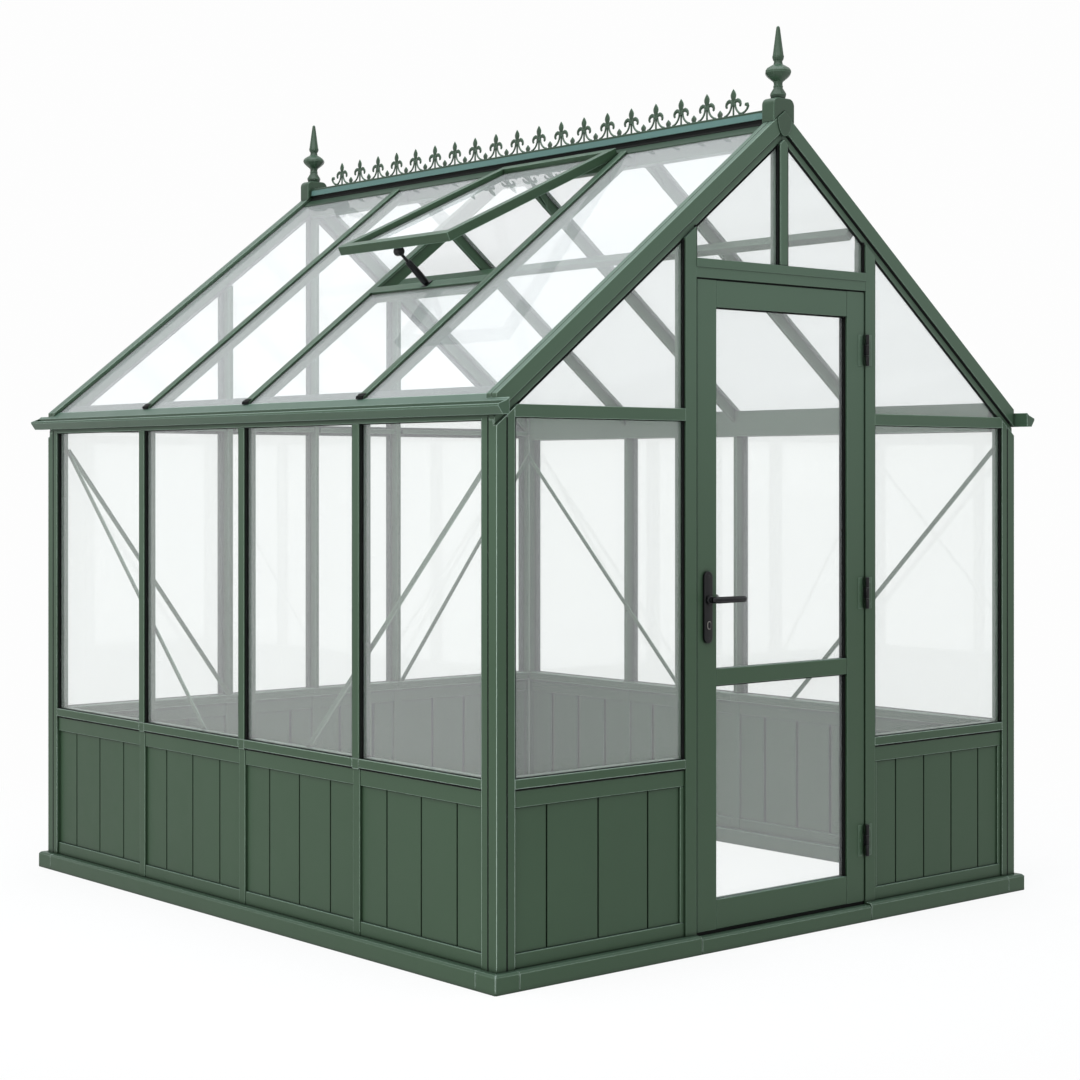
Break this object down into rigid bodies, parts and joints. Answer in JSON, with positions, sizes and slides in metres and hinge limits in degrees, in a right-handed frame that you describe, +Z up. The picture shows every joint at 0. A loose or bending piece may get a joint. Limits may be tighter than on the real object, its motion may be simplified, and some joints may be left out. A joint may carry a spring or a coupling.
{
  "type": "glass greenhouse",
  "caption": "Gabled garden greenhouse with a metal frame, solid kick panels, a glazed front door that swings, an open roof vent and a cast ridge crest with finials.",
  "frame": {"origin": "on the ground, at the middle of the footprint", "axes": "+Z up, +Y along the ridge from the door gable to the rear gable, +X to the right of someone who faces the door from outside"},
  "size_m": [2.38, 2.67, 2.8107],
  "materials": {
    "green_frame": "satin dark sage green powder coat",
    "green_trim": "satin dark sage green powder coat",
    "green_castings": "satin dark sage green powder coat on castings",
    "green_panels": "satin dark sage green powder coat on grooved boards",
    "black_fittings": "satin black",
    "glass": "clear, polished"
  },
  "bodies": {
    "frame": {"base_sides": "green_frame", "base_rear": "green_frame", "base_front": "green_frame", "door_threshold": "green_frame", "corner_posts": "green_frame", "door_posts": "green_frame", "rear_posts": "green_frame", "side_mullions": "green_frame", "side_sills": "green_frame", "front_sills": "green_frame", "rear_sill": "green_frame", "side_panels": "green_panels", "front_panels": "green_panels", "rear_panel": "green_panels", "wall_plates": "green_frame", "left_gutter": "green_trim", "right_gutter": "green_trim", "transoms": "green_frame", "door_head": "green_frame", "front_centre_bar": "green_frame", "front_left_rake": "green_frame", "front_right_rake": "green_frame", "rear_left_rake": "green_frame", "rear_right_rake": "green_frame", "left_rafters": "green_frame", "right_rafters": "green_frame", "right_purlin": "green_frame", "ridge_beam": "green_frame", "ridge_cap": "green_trim", "ridge_crest": "green_castings", "ridge_end_blocks": "green_castings", "finials": "green_castings", "vent_frame": "green_frame", "vent_glass": "glass", "vent_sill": "green_frame", "vent_opener": "black_fittings", "side_glass": "glass", "front_glass": "glass", "rear_glass": "glass", "left_roof_glass": "glass", "right_roof_glass": "glass", "braces": "green_frame", "frame_hinges": "black_fittings"},
    "door": {"door_stiles": "green_frame", "door_rails": "green_frame", "door_glass": "glass", "handle_plates": "black_fittings", "door_hinges": "black_fittings"},
    "lever": {"door_lever": "black_fittings"}
  },
  "joints": [
    {"name": "door_swing", "type": "hinge", "parent": "frame", "child": "door", "pos_m": [0.3775, -1.289, 0], "axis": [0, 0, 1], "range_deg": [0, 110]},
    {"name": "lever_turn", "type": "hinge", "parent": "door", "child": "lever", "pos_m": [-0.334, -1.3, 1.049], "axis": [0, 1, 0], "range_deg": [0, 40], "stiffness_Nm_per_rad": 1, "springref_deg": -28.65}
  ]
}
